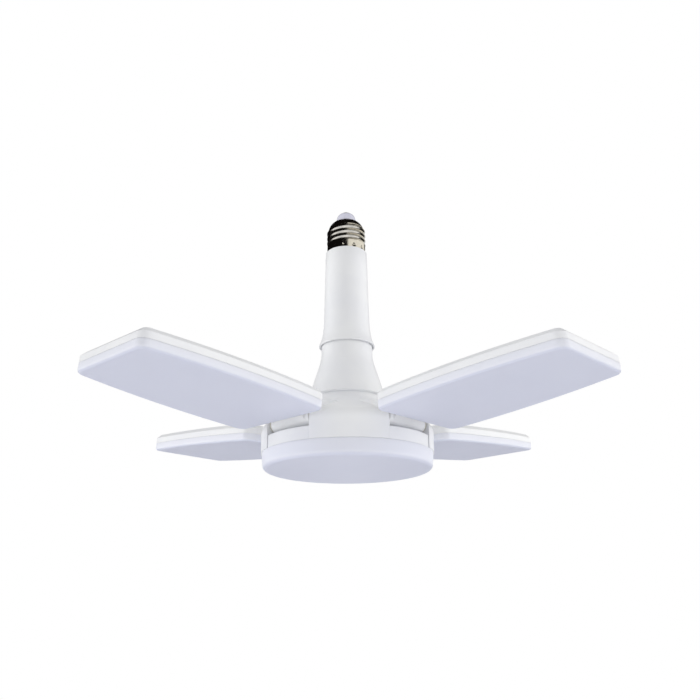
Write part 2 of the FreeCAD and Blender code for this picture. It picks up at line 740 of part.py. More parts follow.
def hinge_place(quarter, tilt):
    """Where a hinge's own frame stands: X out along the panel, Y along the hinge axis."""
    around = Rotation(Vector(0, 0, 1), 90 * quarter)
    base = Vector(number(HINGE_REACH), 0, number(f"{BASE} + {HINGE_LEVEL}"))
    return Placement(around.multVec(base), around * Rotation(Vector(0, 1, 0), -tilt))


def make_hinge_pins():
    half = number("Dims.pocket_width / 2 + Dims.hub_wall")
    pins = []
    for quarter in range(PANELS):
        pin = Part.makeCylinder(number("Dims.pin_radius"), 2 * half, Vector(0, -half, 0), Vector(0, 1, 0))
        pin.Placement = hinge_place(quarter, 0)
        pins.append(pin)
    part(group_of("hinge_pins", pins), "hinge_pins")


def make_washers():
    """A friction washer on each side of every hinge barrel."""
    thickness = number("Dims.washer_thickness")
    start = number("Dims.pocket_width / 2 - Dims.fit_gap - Dims.washer_thickness")
    washers = []
    for quarter in range(PANELS):
        for near in (start, -start - thickness):
            disc = Part.makeCylinder(number("Dims.washer_radius"), thickness, Vector(0, near, 0),
                                     Vector(0, 1, 0))
            bore = Part.makeCylinder(number("Dims.pin_radius + Dims.fit_gap"), thickness,
                                     Vector(0, near, 0), Vector(0, 1, 0))
            washer = disc.cut(bore)
            washer.Placement = hinge_place(quarter, 0)
            washers.append(washer)
    part(group_of("friction_washers", washers), "friction_washers")


# ---------------------------------------------------------------- panels

START = "(Dims.hinge_setback + Dims.rim_room)"
END = f"({START} + Dims.panel_length)"
FACE = "(-Dims.panel_drop)"
SEAM = "(Dims.cover_height - Dims.panel_drop)"
BACK = "(Dims.cover_height + Dims.housing_height - Dims.panel_drop)"
BOARD_TOP = f"({BACK} - Dims.back_plate)"
BOARD_INSET = "(Dims.housing_wall + Dims.board_room)"


def panel_outline(inset="0"):
    """A panel's outline: straight ends and two long sides that bow out a little."""
    root = f"(Dims.panel_root_width / 2 - {inset})"
    tip = f"(Dims.panel_tip_width / 2 - {inset})"
    start, end = f"({START} + {inset})", f"({END} - {inset})"
    chord = f"(pow({end} - {start}; 2) + pow({root} - {tip}; 2))"
    bow = f"({chord} / 4 + pow(Dims.side_bow; 2)) / (2 * Dims.side_bow)"
    return [(start, f"-{root}", bow), (end, f"-{tip}"), (end, tip, bow), (start, root)]


def is_upright(edge):
    if edge.Curve.TypeId != "Part::GeomLine":
        return False
    way = edge.tangentAt(edge.FirstParameter)
    return abs(abs(way.z) - 1) < 1e-6


def is_level_at(height):
    """True for the edges that lie wholly at one height."""
    def test(edge):
        box = edge.BoundBox
        return abs(box.ZMin - height) < 1e-4 and abs(box.ZMax - height) < 1e-4
    return test


def place_panel_piece(body, name, quarter):
    body.Placement = hinge_place(quarter, number("Dims.rest_tilt"))
    part(body, f"{name}_{quarter + 1}")


def make_panel_housing(quarter):
    """The white shell at the back of a panel, with the arm and barrel that hang it."""
    body = new_body(f"panel_housing_{quarter + 1}")
    block = draw(new_sketch(body, "housing_outline", "XY_Plane", SEAM), panel_outline())
    pad(body, block, "housing_block", "Dims.housing_height")
    soften(body, "Fillet", "housing_corners", "Dims.corner_round", is_upright)
    soften(body, "Chamfer", "housing_bevel", "Dims.back_chamfer", is_level_at(number(BACK)))
    hollow = draw(new_sketch(body, "housing_hollow", "XY_Plane", SEAM),
                  panel_outline("Dims.housing_wall"))
    cut(body, hollow, "housing_cavity", "Dims.housing_height - Dims.back_plate", up=True)

    grooves = new_sketch(body, "groove_outlines", "XY_Plane", BACK)
    half = "Dims.groove_width / 2"
    rounded = f"{GROOVE_END} * Dims.groove_width"
    inner = f"{START} + Dims.back_chamfer + Dims.groove_margin"
    outer = f"{END} - Dims.back_chamfer - Dims.groove_margin"
    for line in range(-2, 3):
        low = f"{line} * Dims.groove_spacing - {half}"
        high = f"{line} * Dims.groove_spacing + {half}"
        draw(grooves, [(inner, low), (outer, low, rounded), (outer, high), (inner, high, rounded)])
    cut(body, grooves, "cooling_grooves", "Dims.groove_depth")

    arm_top = f"({BACK} - Dims.back_chamfer)"
    arm_low = f"({SEAM} + Dims.edge_break)"
    reach = f"({START} + Dims.overlap)"
    below = "Dims.barrel_radius * sin(45)"
    arm = draw(new_sketch(body, "arm_profile", "XZ_Plane"), [
        ("0", "0"), (below, f"-{below}"), (f"{START} - Dims.housing_wall", arm_low), (reach, arm_low),
        (reach, arm_top), (f"{START} / 2", arm_top), ("0", "Dims.barrel_radius")])
    pad(body, arm, "hinge_arm", "Dims.arm_width", both_ways=True)
    barrel = draw_circle(new_sketch(body, "barrel_profile", "XZ_Plane"), "0", "0", "Dims.barrel_radius")
    width = "(Dims.pocket_width - 2 * Dims.washer_thickness - 4 * Dims.fit_gap)"
    pad(body, barrel, "hinge_barrel", width, both_ways=True)
    bore = draw_circle(new_sketch(body, "bore_profile", "XZ_Plane"), "0", "0",
                       "Dims.pin_radius + Dims.running_gap")
    cut(body, bore, "hinge_bore", "Dims.pocket_width", through=True)
    pilots = screw_holes(body, "pilot_outlines", "Dims.screw_radius + Dims.press_gap")
    cut(body, pilots, "screw_pilots", "Dims.panel_screw_length + Dims.pilot_extra", up=True)
    place_panel_piece(body, "panel_housing", quarter)


def make_panel_lens(quarter):
    """The milky cover of a panel: a shallow cup with a rounded edge and a tongue."""
    body = new_body(f"panel_lens_{quarter + 1}")
    block = draw(new_sketch(body, "cover_outline", "XY_Plane", SEAM), panel_outline())
    pad(body, block, "cover_block", "Dims.cover_height", down=True)
    soften(body, "Fillet", "cover_corners", "Dims.corner_round", is_upright)
    soften(body, "Fillet", "cover_edge", "Dims.cover_round", is_level_at(number(FACE)))
    inset = "(Dims.housing_wall + Dims.fit_gap)"
    tongue = draw(new_sketch(body, "tongue_outline", "XY_Plane", SEAM), panel_outline(inset))
    pad(body, tongue, "cover_tongue", "Dims.tongue_height")
    top = f"({SEAM} + Dims.tongue_height)"
    hollow = draw(new_sketch(body, "cover_hollow", "XY_Plane", top),
                  panel_outline(f"({inset} + Dims.tongue_wall)"))
    cut(body, hollow, "cover_cavity", "Dims.cover_height + Dims.tongue_height - Dims.cover_face")
    place_panel_piece(body, "panel_lens", quarter)


def led_grid():
    """First column and pitch of a panel's lamps along it, and the pitch across it."""
    margin = f"({BOARD_INSET} + Dims.led_margin)"
    first = f"({START} + {margin})"
    along = f"((Dims.panel_length - 2 * {margin}) / {LED_COLUMNS - 1})"
    across = f"((Dims.panel_tip_width - 2 * {margin}) / {LED_ROWS - 1})"
    return first, along, across


def screw_places():
    """The screws of a panel's board: between columns of lamps, and between two grooves."""
    first, along, _ = led_grid()
    sides = (1, -1, 1)
    return [(f"{first} + {column} * {along}", f"{side} * Dims.groove_spacing / 2")
            for column, side in zip(SCREW_COLUMNS, sides)]


def screw_holes(body, name, radius):
    holes = new_sketch(body, name, "XY_Plane", BOARD_TOP)
    for x, y in screw_places():
        draw_circle(holes, x, y, radius)
    return holes


def make_panel_board(quarter):
    """The aluminium board against a panel's back plate."""
    body = new_body(f"panel_led_board_{quarter + 1}")
    sketch = draw(new_sketch(body, "panel_board_outline", "XY_Plane", BOARD_TOP),
                  panel_outline(BOARD_INSET))
    pad(body, sketch, "panel_board_plate", "Dims.panel_board", down=True)
    holes = screw_holes(body, "panel_board_holes", "Dims.screw_radius + Dims.fit_gap")
    cut(body, holes, "panel_board_drilled", "Dims.panel_board")
    place_panel_piece(body, "panel_led_board", quarter)


def make_panel_leds(quarter):
    """Four rows of lamps under a panel's board."""
    level = number(BOARD_TOP + " - Dims.panel_board")
    first, along, across = (number(size) for size in led_grid())
    lamps = []
    for row in range(LED_ROWS):
        for column in range(LED_COLUMNS):
            middle = row - (LED_ROWS - 1) / 2
            lamps.append(led(Vector(first + column * along, middle * across, level), 0))
    group = group_of(f"panel_leds_{quarter + 1}", lamps)
    place_panel_piece(group, "panel_leds", quarter)


def make_panel_screws(quarter):
    level = number(BOARD_TOP + " - Dims.panel_board")
    length = number("Dims.panel_board + Dims.panel_screw_length")
    screws = []
    for x, y in screw_places():
        one = screw(length)
        one.Placement = Placement(Vector(number(x), number(y), level), Rotation())
        screws.append(one)
    group = group_of(f"panel_screws_{quarter + 1}", screws)
    place_panel_piece(group, "panel_screws", quarter)


# ---------------------------------------------------------------- driver

DRIVER_TOP = f"({SLEEVE_TOP} - Dims.sleeve_wall)"
DRIVER_WIDTH = f"(2 * ({SLEEVE_BORE} - 2 * Dims.fit_gap))"
FRONT = "(-Dims.driver_thickness / 2)"
REAR = "(Dims.driver_thickness / 2)"


def make_driver_board():
    """The driver's board, upright between the sleeve's guide rails."""
    board = solid_box("driver_board_box", DRIVER_WIDTH, "Dims.driver_thickness", "Dims.driver_length",
                      f"-{DRIVER_WIDTH} / 2", FRONT, f"{DRIVER_TOP} - Dims.driver_length")
    part(board, "driver_board")


def below(upper, length):
    """The foot of a part of that length, one gap under the foot of the part above it."""
    return f"({upper} - Dims.driver_gap - {length})"


def make_rear_parts():
    """Behind the board, from the mains end down: fuse resistor, rectifier, mains capacitor."""
    upright = Vector(0, 0, 1)
    fuse_foot = f"({DRIVER_TOP} - Dims.driver_margin - Dims.fuse_length)"
    part(solid_rod("fuse_rod", "Dims.fuse_radius", "Dims.fuse_length", "0",
                   f"{REAR} + Dims.fuse_radius", fuse_foot, upright), "fuse_resistor")
    rectifier_foot = below(fuse_foot, "Dims.rectifier_length")
    part(solid_box("rectifier_box", "Dims.rectifier_width", "Dims.rectifier_height",
                   "Dims.rectifier_length", "-Dims.rectifier_width / 2", REAR, rectifier_foot),
         "bridge_rectifier")
    part(solid_rod("capacitor_can", "Dims.capacitor_radius", "Dims.capacitor_length", "0",
                   f"{REAR} + Dims.capacitor_radius",
                   below(rectifier_foot, "Dims.capacitor_length"), upright), "driver_capacitor")


def make_front_parts():
    """In front of the board, from the mains end down: choke, transformer, output capacitor."""
    choke_middle = f"({DRIVER_TOP} - Dims.inlet_room - Dims.choke_radius)"
    part(solid_rod("choke_drum", "Dims.choke_radius", "Dims.choke_length", "0", FRONT,
                   choke_middle, Vector(0, -1, 0)), "driver_choke")
    transformer_foot = below(f"({choke_middle} - Dims.choke_radius)", "Dims.transformer_length")
    room = f"({SLEEVE_BORE} - Dims.wall_room)"
    depth = f"(sqrt(pow({room}; 2) - pow(Dims.transformer_width / 2; 2)) + {FRONT})"
    part(solid_box("transformer_box", "Dims.transformer_width", depth, "Dims.transformer_length",
                   "-Dims.transformer_width / 2", f"{FRONT} - {depth}", transformer_foot),
         "driver_transformer")
    part(solid_rod("small_can", "Dims.small_capacitor_radius", "Dims.small_capacitor_length", "0",
                   f"{FRONT} - Dims.small_capacitor_radius",
                   below(transformer_foot, "Dims.small_capacitor_length"), Vector(0, 0, 1)),
         "output_capacitor")


# ---------------------------------------------------------------- build

make_contact()
make_insulator()
make_screw_shell()
make_sleeve()
make_neck()
make_hub()
make_tray()
make_centre_lens()
make_centre_board()
make_centre_leds()
make_tray_screws()
make_hinge_pins()
make_washers()
make_driver_board()
make_rear_parts()
make_front_parts()
for panel in range(PANELS):
    make_panel_housing(panel)
    make_panel_lens(panel)
    make_panel_board(panel)
    make_panel_leds(panel)
    make_panel_screws(panel)
doc.recompute()

for thing in doc.Objects:
    if "Invalid" in thing.State or "Error" in thing.State:
        raise RuntimeError(f"{thing.Name} did not build: {thing.State}")
for thing in parts:
    if thing.Shape.isNull() or not thing.Shape.isValid():
        raise RuntimeError(f"{thing.Label} has no valid shape")

os.makedirs("parts", exist_ok=True)
for thing in parts:
    thing.Shape.exportStep(f"parts/{thing.Label}.step")
    box = thing.Shape.BoundBox
    print(f"{thing.Label:22s} {len(thing.Shape.Solids):3d} solids {thing.Shape.Volume:10.1f} mm3 "
          f"z {box.ZMin:8.2f} to {box.ZMax:8.2f}")
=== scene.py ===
# %% [markdown]
# # A screw-in garage lamp with four folding panels
#
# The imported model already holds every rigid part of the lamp, at its true size and place.
# This notebook gives each part its finish and hangs the lamp in a small white studio. Three
# turned parts are shaped again here: the rolled screw shell and the domed tip of the cap, whose
# forms are too fine for a solid, and the sleeve, whose lip sweeps out in a hollow curve.

from math import cos, exp, pi, radians, sin

import bmesh
import bpy
from mathutils import Matrix, Vector


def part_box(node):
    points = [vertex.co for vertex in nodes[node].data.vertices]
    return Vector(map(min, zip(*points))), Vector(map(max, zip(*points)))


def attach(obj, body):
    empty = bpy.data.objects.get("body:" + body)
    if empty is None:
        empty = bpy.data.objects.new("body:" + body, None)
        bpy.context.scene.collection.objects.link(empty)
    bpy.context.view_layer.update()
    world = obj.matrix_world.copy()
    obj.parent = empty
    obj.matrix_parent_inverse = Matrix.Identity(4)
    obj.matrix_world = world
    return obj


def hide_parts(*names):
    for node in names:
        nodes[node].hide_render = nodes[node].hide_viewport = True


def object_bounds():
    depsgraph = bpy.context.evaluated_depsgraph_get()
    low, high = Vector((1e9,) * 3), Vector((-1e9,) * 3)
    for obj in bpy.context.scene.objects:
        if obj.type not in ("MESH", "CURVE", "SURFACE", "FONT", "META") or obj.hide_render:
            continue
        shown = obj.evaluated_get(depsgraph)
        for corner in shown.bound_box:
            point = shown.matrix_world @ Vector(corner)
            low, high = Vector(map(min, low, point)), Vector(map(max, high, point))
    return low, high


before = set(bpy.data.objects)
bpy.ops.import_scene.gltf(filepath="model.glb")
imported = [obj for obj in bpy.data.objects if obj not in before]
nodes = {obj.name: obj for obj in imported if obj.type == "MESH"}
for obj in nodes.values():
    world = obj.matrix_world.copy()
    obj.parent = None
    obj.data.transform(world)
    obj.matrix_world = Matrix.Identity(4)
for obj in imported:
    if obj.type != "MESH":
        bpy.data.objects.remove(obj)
cad_low, cad_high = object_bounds()

# %% [markdown]
# ## Lengths and colours in a maker's units
#
# Blender works in metres and in linear light. A maker thinks in millimetres and picks colours
# from a 0 to 255 chart, so a factor and a small helper translate both.

# %% Millimetres and chart colours
MM = 0.001


def chart(red, green, blue):
    """A colour from a 0 to 255 chart, as the linear light that a shader works with."""
    def linear(part):
        share = part / 255
        return share / 12.92 if share <= 0.04045 else ((share + 0.055) / 1.055) ** 2.4
    return (linear(red), linear(green), linear(blue), 1.0)


# %% [markdown]
# ## Shader sums written as sums
#
# A finish is a small network of nodes. Wiring each node by hand hides the idea, so one class
# wraps a node's output: `+`, `-` and `*` add Math nodes, and `node` adds any other kind. It
# takes the node's type, then its settings, then what goes into its sockets.

# %% One class for wires
class Wire:
    """What comes out of a shader node, ready for sums."""

    def __init__(self, tree, socket=None):
        self.tree = tree
        self.socket = socket

    def node(self, kind, settings=None, sockets=None, out=0):
        """Adds a node: its settings first, then a number, a colour or a wire for each socket."""
        made = self.tree.nodes.new(kind)
        for name, value in (settings or {}).items():
            setattr(made, name, value)
        for name, value in (sockets or {}).items():
            if isinstance(value, Wire):
                self.tree.links.new(value.socket, made.inputs[name])
            else:
                made.inputs[name].default_value = value
        return Wire(self.tree, made.outputs[out] if len(made.outputs) else None)

    def sum(self, operation, first, second):
        return self.node("ShaderNodeMath", {"operation": operation}, {0: first, 1: second})

    def __add__(self, other):
        return self.sum("ADD", self, other)

    def __radd__(self, other):
        return self.sum("ADD", other, self)

    def __sub__(self, other):
        return self.sum("SUBTRACT", self, other)

    def __rsub__(self, other):
        return self.sum("SUBTRACT", other, self)

    def __mul__(self, other):
        return self.sum("MULTIPLY", self, other)

    def __rmul__(self, other):
        return self.sum("MULTIPLY", other, self)


# %% [markdown]
# Some sums come back in most finishes: a cloudy pattern, a step from 0 to 1 between two levels,
# a mix of two colours, rounded edges, relief and corners. A piece's object coordinates are its
# place at rest in metres, so a pattern stays on its panel when the panel swings, and its scale
# is in repeats per metre.

# %% Clouds, steps, mixes and relief
MIX_FACTOR, MIX_FIRST, MIX_SECOND, MIX_RESULT = 0, 6, 7, 2


def place_of(start):
    return start.node("ShaderNodeTexCoord", out="Object")


def clouds(place, size, detail=2.0):
    """A soft random pattern, 0 to 1, whose patches are about `size` metres across."""
    return place.node("ShaderNodeTexNoise", None,
                      {"Vector": place, "Scale": 1 / size, "Detail": detail}, out="Fac")


def step(value, low, high):
    """0 below `low`, 1 above `high`, and a smooth rise between them."""
    return value.node("ShaderNodeMapRange", {"interpolation_type": "SMOOTHSTEP"},
                      {"Value": value, "From Min": low, "From Max": high})


def mix(share, first, second):
    """From the first colour to the second as the share goes from 0 to 1."""
    return share.node("ShaderNodeMix", {"data_type": "RGBA"},
                      {MIX_FACTOR: share, MIX_FIRST: first, MIX_SECOND: second}, out=MIX_RESULT)


def soft_edges(start, radius):
    """The surface's direction, with every sharp edge turned over a small radius."""
    return start.node("ShaderNodeBevel", {"samples": 6}, {"Radius": radius})


def relief(height, depth, under, strength=1.0):
    """Bumps of that height pattern, `depth` metres deep, over a direction."""
    return height.node("ShaderNodeBump", None,
                       {"Height": height, "Distance": depth, "Strength": strength,
                        "Normal": under})


def crevices(start, reach):
    """1 in corners and gaps no wider than `reach`, 0 in the open."""
    open_air = start.node("ShaderNodeAmbientOcclusion", {"samples": 8}, {"Distance": reach},
                          out="AO")
    return 1 - open_air


# %% [markdown]
# A finish is a function that is given an empty tree and returns the surface. `finish` makes the
# material, and `dress` puts it on the nodes that carry it.

# %% Making a material and putting it on
def finish(name, recipe):
    material = bpy.data.materials.new(name)
    material.use_nodes = True
    tree = material.node_tree
    tree.nodes.clear()
    start = Wire(tree)
    surface = recipe(start)
    start.node("ShaderNodeOutputMaterial", None, {"Surface": surface})
    print("finish", name, "nodes:", len(tree.nodes))
    return material


def dress(material, *names):
    for name in names:
        slots = nodes[name].data.materials
        slots.clear()
        slots.append(material)


def each_panel(stem):
    return [f"{stem}_{number}" for number in range(1, 5)]


# %% [markdown]
# ## Satin white mouldings
#
# The hub, the neck, the sleeve and the panel backs are moulded in the same white plastic. Real
# mouldings are never one flat white: the pigment clouds a little, the mould leaves a fine spark
# grain, and handling polishes some patches. The corners are greyed by painted shade, patchy like
# some dust. Each of these is one line.

# %% Satin white plastic
WHITE_BODY = chart(240, 241, 242)
WHITE_SHADE = chart(235, 236, 239)
# painted shade, with some dust: the grey that corners and gaps darken to
CORNER_DUST_AND_SHADE = chart(206, 207, 210)


def satin_white(start):
    place = place_of(start)
    pigment = clouds(place, 30 * MM, 3.0)
    polish = clouds(place, 9 * MM, 4.0)
    grain = clouds(place, 0.45 * MM, 2.0)
    # painted shade: the colour darkens where the surface is occluded, in corners and gaps, patchy
    # like dust
    dust_and_shade = step(crevices(start, 2.0 * MM), 0.4, 1.0) * (0.12 + 0.3 * pigment)
    body = mix(step(pigment, 0.3, 0.7), WHITE_SHADE, WHITE_BODY)
    return start.node("ShaderNodeBsdfPrincipled", None, {
        "Base Color": mix(dust_and_shade, body, CORNER_DUST_AND_SHADE),
        "Roughness": 0.34 + 0.14 * polish + 0.1 * dust_and_shade,
        "IOR": 1.5,
        "Normal": relief(grain, 0.012 * MM, soft_edges(start, 0.35 * MM), 0.6)})


white_plastic = finish("satin_white_plastic", satin_white)
dress(white_plastic, "hub_shell", "neck_housing", "base_tray", *each_panel("panel_housing"))

# %% [markdown]
# ## Milky covers
#
# The covers are milky polycarbonate: light enters, scatters and comes out again, which the
# subsurface weight does. The pigment gives a cool grey with a trace of violet. The face is
# painted a little darker than the thin side walls: painted shade on the face and painted light on
# the walls, which pass more light, so the tone follows the direction of the face in the cover's
# own coordinates.

# %% Milky polycarbonate
# painted light: a darker, shaded tone for the face and a lighter, lit one for the side walls
MILK_FACE_PAINTED_SHADE = chart(208, 211, 226)
MILK_WALL_PAINTED_LIGHT = chart(230, 232, 241)
MILK_SCATTER = 2.5 * MM


def milky(start):
    place = place_of(start)
    facing = start.node("ShaderNodeTexCoord", out="Normal")
    down = start.node("ShaderNodeSeparateXYZ", None, {0: facing}, out="Z") * -1
    swirl = clouds(place, 42 * MM, 2.0)
    polish = clouds(place, 14 * MM, 4.0)
    grain = clouds(place, 0.35 * MM, 2.0)
    # painted shade on the face that points down, painted light on the side walls
    face = step(down, 0.25, 0.85)
    lit_and_shaded_tone = mix(face * (0.9 + 0.15 * swirl), MILK_WALL_PAINTED_LIGHT, MILK_FACE_PAINTED_SHADE)
    return start.node("ShaderNodeBsdfPrincipled", None, {
        "Base Color": lit_and_shaded_tone,
        "Roughness": 0.42 + 0.14 * polish,
        "IOR": 1.58,
        "Subsurface Weight": 0.35,
        "Subsurface Radius": (1.0, 1.0, 1.0),
        "Subsurface Scale": MILK_SCATTER,
        "Normal": relief(grain, 0.006 * MM, soft_edges(start, 0.5 * MM), 0.5)})


milky_cover = finish("milky_polycarbonate", milky)
dress(milky_cover, "centre_lens", *each_panel("panel_lens"))

# %% [markdown]
# ## The rolled screw shell
#
# A screw cap is one sheet of brass, drawn into a cup, rolled to a round wave and nickel plated.
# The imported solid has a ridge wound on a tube, which is right for fit but too sharp to the eye.
# It could be a screw modifier on a wave, but that gives no run-out at the ends. Here the sheet
# is a grid: rows go down the profile and columns go round, so any height and angle can be
# moved. A Solidify modifier gives the sheet its thickness, as in the real part. The same
# turning helper serves the tip and the sleeve, as closed profiles.

# %% A turned sheet or body
FRONT = radians(-136.3)                 # the side of the lamp that the camera sees
SHARP = radians(32)                     # faces that meet at more than this show an edge


def in_mm(points):
    """(height, radius) points in millimetres, as metres."""
    return [(height * MM, radius * MM) for height, radius in points]


def object_of(name, mesh):
    """A scene object from a finished bmesh."""
    data = bpy.data.meshes.new(name)
    mesh.to_mesh(data)
    mesh.free()
    made = bpy.data.objects.new(name, data)
    bpy.context.scene.collection.objects.link(made)
    return made


def turned(name, profile, columns, bump=lambda height, angle: 0.0, closed=True):
    """A body of revolution from (height, radius) points; `bump` adds to the radius there."""
    mesh = bmesh.new()
    rings = []
    for height, radius in profile:
        rings.append([])
        for column in range(columns):
            angle = 2 * pi * column / columns
            reach = radius + bump(height, angle)
            rings[-1].append(mesh.verts.new((reach * cos(angle), reach * sin(angle), height)))
    for upper, lower in zip(rings, rings[1:] + ([rings[0]] if closed else [])):
        for column in range(columns):
            beside = (column + 1) % columns
            mesh.faces.new((upper[column], lower[column], lower[beside], upper[beside]))
    bmesh.ops.recalc_face_normals(mesh, faces=mesh.faces)
    for face in mesh.faces:
        face.smooth = True
    for edge in mesh.edges:
        edge.smooth = edge.calc_face_angle(0.0) < SHARP
    body = object_of(name, mesh)
    print(name, "faces:", len(body.data.polygons))
    return body


def smooth(share):
    """A gentle rise from 0 to 1 as the share goes from 0 to 1."""
    share = min(1.0, max(0.0, share))
    return share * share * (3 - 2 * share)


# %% [markdown]
# The shell's profile runs from the mouth round the nose, down a rounded shoulder, along the
# thread and the plain collar. The wave fades in under the shoulder and out above the collar,
# as rolling leaves it.

# %% The shell's profile
PITCH = 3.629 * MM
ROOT_RADIUS = 11.95 * MM
CREST_RADIUS = 13.25 * MM
COLLAR_RADIUS = 13.0 * MM
SHOULDER = [(-6.9, 7.3), (-7.1, 7.75), (-7.8, 8.75), (-8.8, 9.85), (-9.8, 10.7), (-10.8, 11.35),
            (-11.7, 11.75)]
THREAD_TOP = -12.3 * MM
THREAD_END = -25.2 * MM
CREST_LEVEL = -18.4 * MM                # a crest crosses the front side at this height
SHELL_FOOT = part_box("screw_shell")[0].z
SHEET = 0.3 * MM
COLUMNS = 160
ROWS_PER_PITCH = 14
COLLAR_ROWS = 14


def shell_profile():
    rows = in_mm(SHOULDER)
    mean = (ROOT_RADIUS + CREST_RADIUS) / 2
    count = round((THREAD_TOP - THREAD_END) / PITCH * ROWS_PER_PITCH)
    for i in range(count + 1):
        height = THREAD_TOP + (THREAD_END - THREAD_TOP) * i / count
        down = smooth((THREAD_TOP - height) / (0.6 * PITCH))
        plain = ROOT_RADIUS + (mean - ROOT_RADIUS) * down
        collar = smooth((THREAD_END + 0.45 * PITCH - height) / (0.45 * PITCH))
        rows.append((height, plain + (COLLAR_RADIUS - plain) * collar))
    for i in range(1, COLLAR_ROWS + 1):
        rows.append((THREAD_END + (SHELL_FOOT - THREAD_END) * i / COLLAR_ROWS, COLLAR_RADIUS))
    return rows


# %% [markdown]
# A punch locks the collar to the plastic core with a ring of small dents. Each one is a bell
# shaped hollow, deepest at its centre. The thread is a cosine in height that moves up by one
# pitch in each turn, which makes it right-handed.

# %% Thread wave and punched dents
DENTS = 12
DENT_HEIGHT = -28.7 * MM
DENT_RADIUS = 1.0 * MM
DENT_DEPTH = 0.55 * MM
DENT_TURN = FRONT - radians(6)


def dent(height, angle):
    """How far the collar is pressed in there."""
    apart = 2 * pi / DENTS
    near = round((angle - DENT_TURN) / apart) * apart + DENT_TURN
    across = (angle - near) * COLLAR_RADIUS
    away = (across ** 2 + (height - DENT_HEIGHT) ** 2) / DENT_RADIUS ** 2
    return DENT_DEPTH * exp(-away ** 2)


def thread(height, angle):
    """What rolling adds to the shell's plain radius there."""
    share = smooth((THREAD_TOP - height) / (0.5 * PITCH))
    share *= smooth((height - THREAD_END) / (0.35 * PITCH))
    swing = (CREST_RADIUS - ROOT_RADIUS) / 2
    wave = cos(2 * pi * (height - CREST_LEVEL) / PITCH - (angle - FRONT))
    return share * swing * wave - dent(height, angle)


rolled_shell = turned("rolled_shell", shell_profile(), COLUMNS, thread, closed=False)
wall = rolled_shell.modifiers.new("sheet", "SOLIDIFY")
wall.thickness = SHEET
wall.offset = -1                        # the sheet grows inward from the turned surface

# %% [markdown]
# Nickel plate is a mirror with a warm cast. Rolling leaves lines that run round the shell, so
# one pattern varies only with height. Screwing the lamp in and out rubs the crests, and the
# roots keep some tarnish: both follow the distance from the axis.

# %% Nickel plate
NICKEL = chart(232, 228, 219)
NICKEL_WORN = chart(238, 236, 230)
NICKEL_TARNISH = chart(176, 166, 148)


def nickel_plate(start):
    place = place_of(start)
    flat = start.node("ShaderNodeVectorMath", {"operation": "MULTIPLY"},
                      {0: place, 1: (1.0, 1.0, 0.0)})
    radius = start.node("ShaderNodeVectorMath", {"operation": "LENGTH"}, {0: flat}, out="Value")
    lengthwise = start.node("ShaderNodeVectorMath", {"operation": "MULTIPLY"},
                            {0: place, 1: (0.02, 0.02, 1.0)})
    lines = clouds(lengthwise, 0.12 * MM, 3.0)
    spots = clouds(place, 3 * MM, 4.0)
    crest = step(radius, ROOT_RADIUS + 0.6 * MM, CREST_RADIUS)
    root = 1 - step(radius, ROOT_RADIUS, ROOT_RADIUS + 0.25 * MM)
    tarnish = root * step(spots, 0.4, 0.75)
    plate = mix(tarnish * 0.6, mix(crest * spots, NICKEL, NICKEL_WORN), NICKEL_TARNISH)
    return start.node("ShaderNodeBsdfPrincipled", None, {
        "Base Color": plate,
        "Metallic": 1.0,
        "Roughness": 0.13 + 0.08 * lines + 0.08 * spots + 0.12 * tarnish,
        "Normal": relief(lines, 0.004 * MM, start.node("ShaderNodeNewGeometry", out="Normal"))})


nickel = finish("nickel_plate", nickel_plate)
rolled_shell.data.materials.append(nickel)
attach(rolled_shell, "root")
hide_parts("screw_shell")

# %% [markdown]
# ## The sleeve
#
# The sleeve is a moulding with a hollow curve: it widens slowly, then sweeps out to a lip that
# covers the neck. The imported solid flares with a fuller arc, so the outside is turned again
# here from measured points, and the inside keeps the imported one's core, bore and socket. A
# curve object could be lathed too, but a list of points can be checked against a caliper.

# %% The sleeve with its swept lip
SLEEVE_OUTSIDE = [(-30.7, 13.55), (-30.82, 13.85), (-31.15, 14.02), (-45, 14.33), (-60, 14.64),
                  (-72, 14.9), (-80, 15.1), (-84.5, 15.32), (-88, 15.68), (-90.6, 16.08),
                  (-92.8, 16.55), (-94.8, 17.12), (-96.4, 17.72), (-97.6, 18.25), (-98.2, 18.45),
                  (-98.55, 18.4), (-98.7, 18.15)]
SLEEVE_INSIDE = [(-98.7, 17.5), (-97.5, 17.5), (-97.5, 14.75), (-90.5, 14.6), (-90.5, 12.4),
                 (-32.4, 12.4), (-32.4, 4.0), (-16.7, 4.0), (-16.7, 11.1), (-17.1, 11.4),
                 (-30.7, 11.4)]
SLEEVE_COLUMNS = 128
swept_sleeve = turned("swept_sleeve", in_mm(SLEEVE_OUTSIDE + SLEEVE_INSIDE), SLEEVE_COLUMNS)
swept_sleeve.data.materials.append(white_plastic)
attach(swept_sleeve, "root")
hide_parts("driver_sleeve")

# %% [markdown]
# ## The cap's tip
#
# The white nose is a glossy insulator, a little violet beside the plastic, with the contact
# button in its middle. It is turned as a dome with a flange that hides under the shell's
# shoulder. The button is tinned: soft, dull, and scratched by the lamp holder.

# %% Nose and contact
NOSE = chart(232, 232, 244)
NOSE_SHADE = chart(214, 214, 232)
TIN = chart(205, 205, 210)
TIN_RUBBED = chart(232, 231, 228)


def glazed_nose(start):
    place = place_of(start)
    glaze = clouds(place, 4 * MM, 3.0)
    pits = clouds(place, 0.5 * MM, 3.0)
    return start.node("ShaderNodeBsdfPrincipled", None, {
        "Base Color": mix(glaze, NOSE_SHADE, NOSE),
        "Roughness": 0.18 + 0.15 * glaze,
        "Coat Weight": 0.3,
        "Normal": relief(pits, 0.01 * MM, soft_edges(start, 0.3 * MM), 0.5)})


